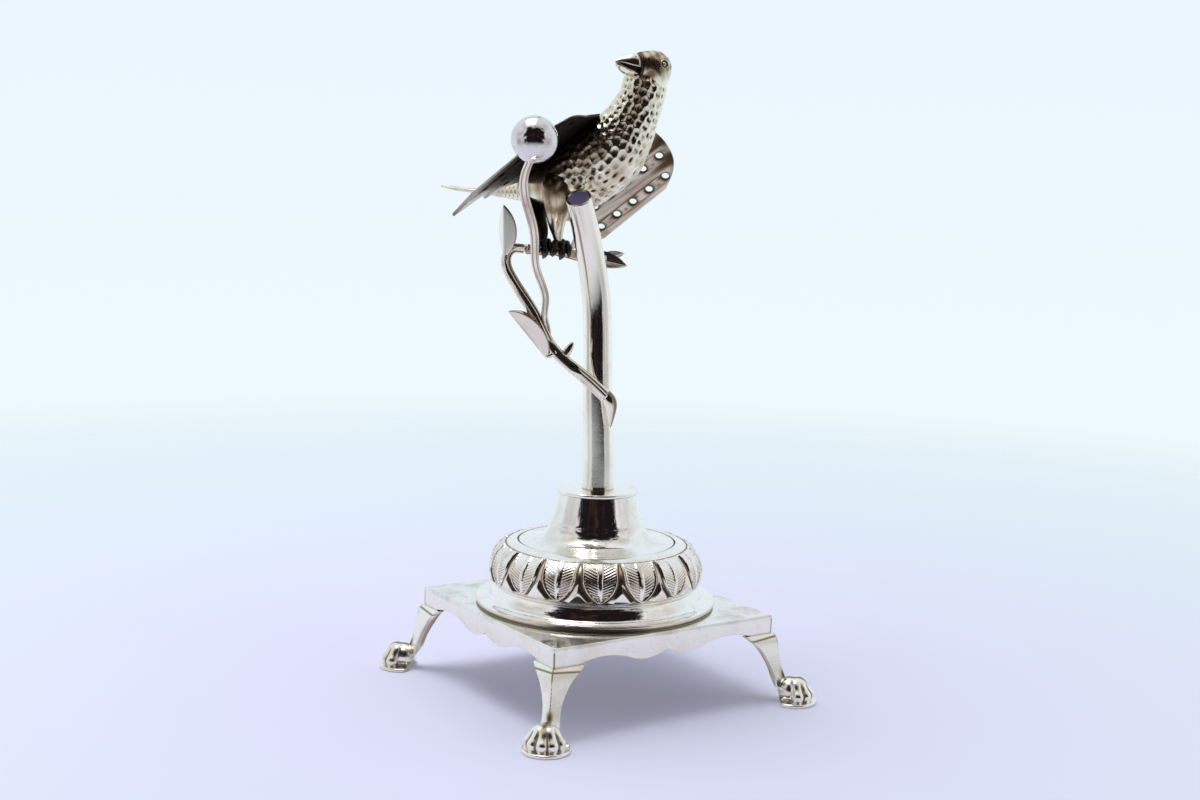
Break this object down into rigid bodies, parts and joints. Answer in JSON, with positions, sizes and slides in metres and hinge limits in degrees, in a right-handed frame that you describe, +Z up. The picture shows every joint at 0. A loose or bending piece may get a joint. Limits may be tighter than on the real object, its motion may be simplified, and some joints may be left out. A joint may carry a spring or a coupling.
{
  "type": "toothpick holder",
  "caption": "Silver table holder for toothpicks: a bird with pierced wings on a bough that swivels over a domed square base with paw feet.",
  "frame": {"origin": "centre of the base on the table, under the soles of the four paws", "axes": "+Z up along the trunk, -Y towards the base's front apron, the bird's head is turned towards -X"},
  "size_m": [0.092, 0.0923, 0.1743],
  "materials": {
    "polished_silver": "polished, slightly hand-worn silver",
    "chased_silver": "chased silver with dark oxidised recesses",
    "brass_fastener": "plain turned brass, hidden under the base"
  },
  "bodies": {
    "base": {"platform_top": "polished_silver", "apron_front": "polished_silver", "apron_right": "polished_silver", "apron_back": "polished_silver", "apron_left": "polished_silver", "leg_front_left": "polished_silver", "leg_front_right": "polished_silver", "leg_back_right": "polished_silver", "leg_back_left": "polished_silver", "foot_ring": "polished_silver", "leaf_band": "polished_silver", "dome_bell": "polished_silver", "dome_collar": "polished_silver", "clamp_washer": "brass_fastener"},
    "figure": {"clamp_nut": "brass_fastener", "tie_rod": "brass_fastener", "trunk": "polished_silver", "trunk_cap": "polished_silver", "vine": "polished_silver", "vine_bud": "polished_silver", "perch": "polished_silver", "upper_leaf": "polished_silver", "lower_leaf": "polished_silver", "perch_leaf": "polished_silver", "perch_leaf_small": "polished_silver", "berry": "polished_silver", "berry_stem": "polished_silver", "bird_body": "chased_silver", "bird_head": "polished_silver", "beak": "polished_silver", "right_wing": "chased_silver", "left_wing": "chased_silver", "tail": "chased_silver", "right_leg": "chased_silver", "left_leg": "chased_silver", "right_foot": "chased_silver", "left_foot": "chased_silver"}
  },
  "joints": [
    {"name": "figure_swivel", "type": "hinge", "parent": "base", "child": "figure", "pos_m": [0, 0, 0.05595], "axis": [0, 0, 1], "continuous": true}
  ]
}
